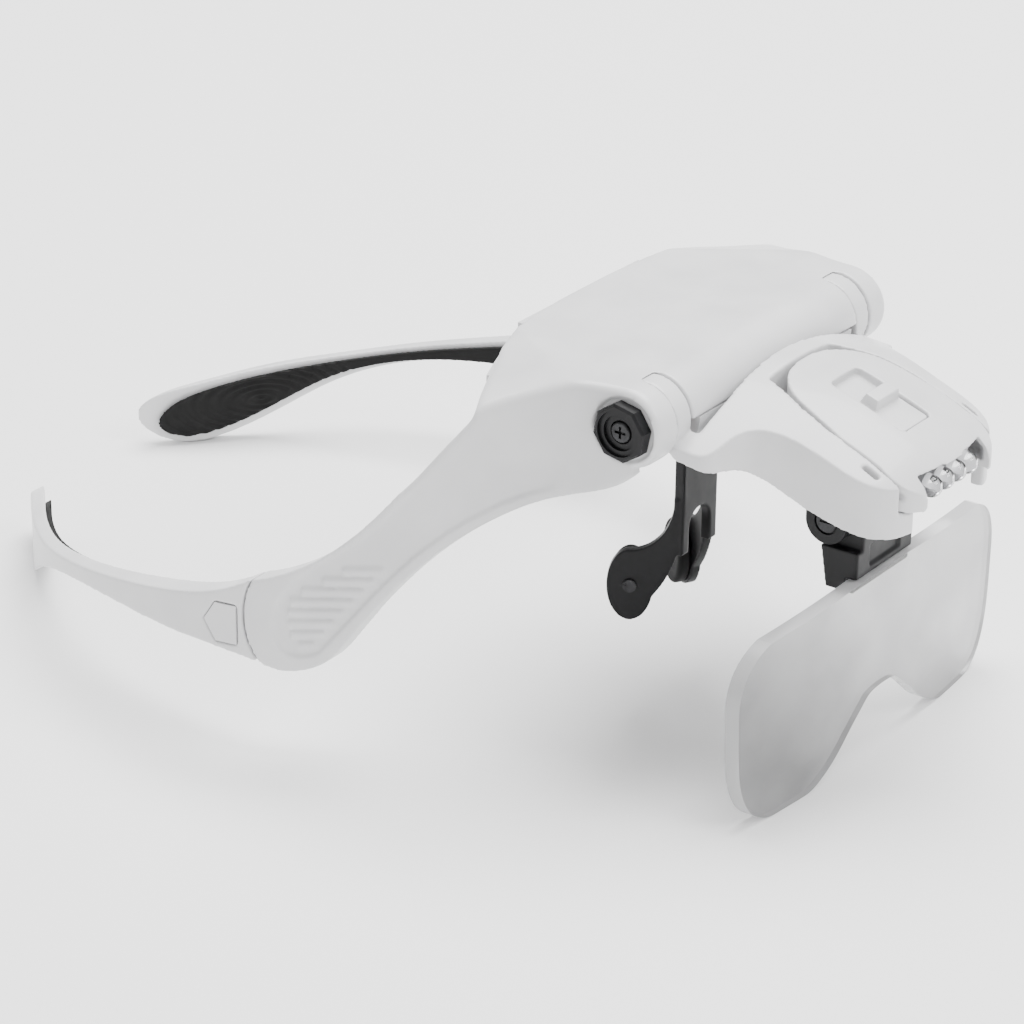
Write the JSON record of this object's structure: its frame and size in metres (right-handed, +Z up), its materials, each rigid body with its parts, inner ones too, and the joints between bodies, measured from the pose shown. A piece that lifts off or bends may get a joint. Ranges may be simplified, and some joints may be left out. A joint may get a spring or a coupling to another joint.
{
  "type": "head visor magnifier",
  "caption": "Head-worn visor magnifier: white brow casing with temples, flip-up lamp bracket, slide-out LED lamp, tilting clear visor lens and nose piece.",
  "frame": {"origin": "centre of the bounding box, on the plane it rests on", "axes": "+Z up; -Y is the way the wearer looks; +X is to the wearer's left"},
  "size_m": [0.18, 0.2606, 0.0937],
  "materials": {
    "white_plastic": "satin",
    "black_plastic": "satin",
    "black_rubber": "ribbed matt",
    "clear_lens": "polished clear acrylic",
    "clear_led": "clear",
    "steel": "satin",
    "dark_steel": "blackened",
    "brass": "turned",
    "board": "solder mask",
    "fibre": "matt"
  },
  "bodies": {
    "frame": {"brow_shell": "white_plastic", "under_cover": "white_plastic", "cover_screws": "steel", "forehead_pad": "white_plastic", "hinge_insert_left": "brass", "hinge_insert_right": "brass", "friction_washer_left": "fibre", "friction_washer_right": "fibre"},
    "knob_left": {"hinge_knob_left": "black_plastic", "hinge_screw_left": "dark_steel"},
    "knob_right": {"hinge_knob_right": "black_plastic", "hinge_screw_right": "dark_steel"},
    "temple_left_arm": {"temple_left": "white_plastic", "temple_pad_left": "black_rubber"},
    "temple_right_arm": {"temple_right": "white_plastic", "temple_pad_right": "black_rubber"},
    "latch_left": {"temple_latch_left": "white_plastic"},
    "latch_right": {"temple_latch_right": "white_plastic"},
    "nose_piece": {"nose_bracket": "black_plastic", "nose_pin_left": "dark_steel", "nose_pin_right": "dark_steel"},
    "nose_pad_left_body": {"nose_pad_left": "black_rubber"},
    "nose_pad_right_body": {"nose_pad_right": "black_rubber"},
    "bracket": {"lamp_bracket": "white_plastic", "holder_mount": "black_plastic", "mount_screws": "steel", "holder_pin": "dark_steel"},
    "lamp": {"lamp_cover": "white_plastic", "lamp_base": "white_plastic", "lamp_screws": "steel", "battery_door": "white_plastic", "cell_contact_bottom": "steel", "cell_contact_top": "steel", "coin_cells": "steel", "circuit_board": "board", "switch_body": "black_plastic", "leds": "clear_led"},
    "switch": {"switch_slider": "white_plastic"},
    "holder": {"lens_holder": "black_plastic"},
    "lens_body": {"lens": "clear_lens"}
  },
  "joints": [
    {"name": "bracket_flip", "type": "hinge", "parent": "frame", "child": "bracket", "pos_m": [0, -0.07369, 0.0845], "axis": [-1, 0, 0], "range_deg": [-4, 75]},
    {"name": "lamp_slide", "type": "slide", "parent": "bracket", "child": "lamp", "axis": [0, -0.9903, -0.1392], "range_m": [0, 0.042]},
    {"name": "switch_slide", "type": "slide", "parent": "lamp", "child": "switch", "axis": [0, 0.9461, 0.3239], "range_m": [0, 0.004]},
    {"name": "holder_tilt", "type": "hinge", "parent": "bracket", "child": "holder", "pos_m": [0, -0.10479, 0.0586], "axis": [-1, 0, 0], "range_deg": [-12, 30]},
    {"name": "lens_slide", "type": "slide", "parent": "holder", "child": "lens_body", "axis": [0, 0, -1], "range_m": [0, 0.012]},
    {"name": "knob_turn_left", "type": "hinge", "parent": "frame", "child": "knob_left", "pos_m": [0.0484, -0.07369, 0.0845], "axis": [1, 0, 0], "range_deg": [-180, 180]},
    {"name": "knob_turn_right", "type": "hinge", "parent": "frame", "child": "knob_right", "pos_m": [-0.0484, -0.07369, 0.0845], "axis": [-1, 0, 0], "range_deg": [-180, 180]},
    {"name": "temple_pull_left", "type": "slide", "parent": "frame", "child": "temple_left_arm", "axis": [0, 1, 0], "range_m": [-0.0142, 0.004]},
    {"name": "temple_pull_right", "type": "slide", "parent": "frame", "child": "temple_right_arm", "axis": [0, 1, 0], "range_m": [0, 0.018]},
    {"name": "nose_piece_pull", "type": "slide", "parent": "frame", "child": "nose_piece", "axis": [0, 0, -1], "range_m": [0, 0.014]},
    {"name": "nose_pad_turn_left", "type": "hinge", "parent": "nose_piece", "child": "nose_pad_left_body", "pos_m": [0.0119, -0.05259, 0.028], "axis": [0.866, -0.5, 0], "range_deg": [-12, 12]},
    {"name": "nose_pad_turn_right", "type": "hinge", "parent": "nose_piece", "child": "nose_pad_right_body", "pos_m": [-0.0119, -0.05259, 0.028], "axis": [-0.866, -0.5, 0], "range_deg": [-12, 12]},
    {"name": "latch_press_left", "type": "slide", "parent": "temple_left_arm", "child": "latch_left", "axis": [-1, 0, 0], "range_m": [0, 0.0008], "stiffness_N_per_m": 600, "springref_m": -0.0004},
    {"name": "latch_press_right", "type": "slide", "parent": "temple_right_arm", "child": "latch_right", "axis": [1, 0, 0], "range_m": [0, 0.0008], "stiffness_N_per_m": 600, "springref_m": -0.0004}
  ]
}
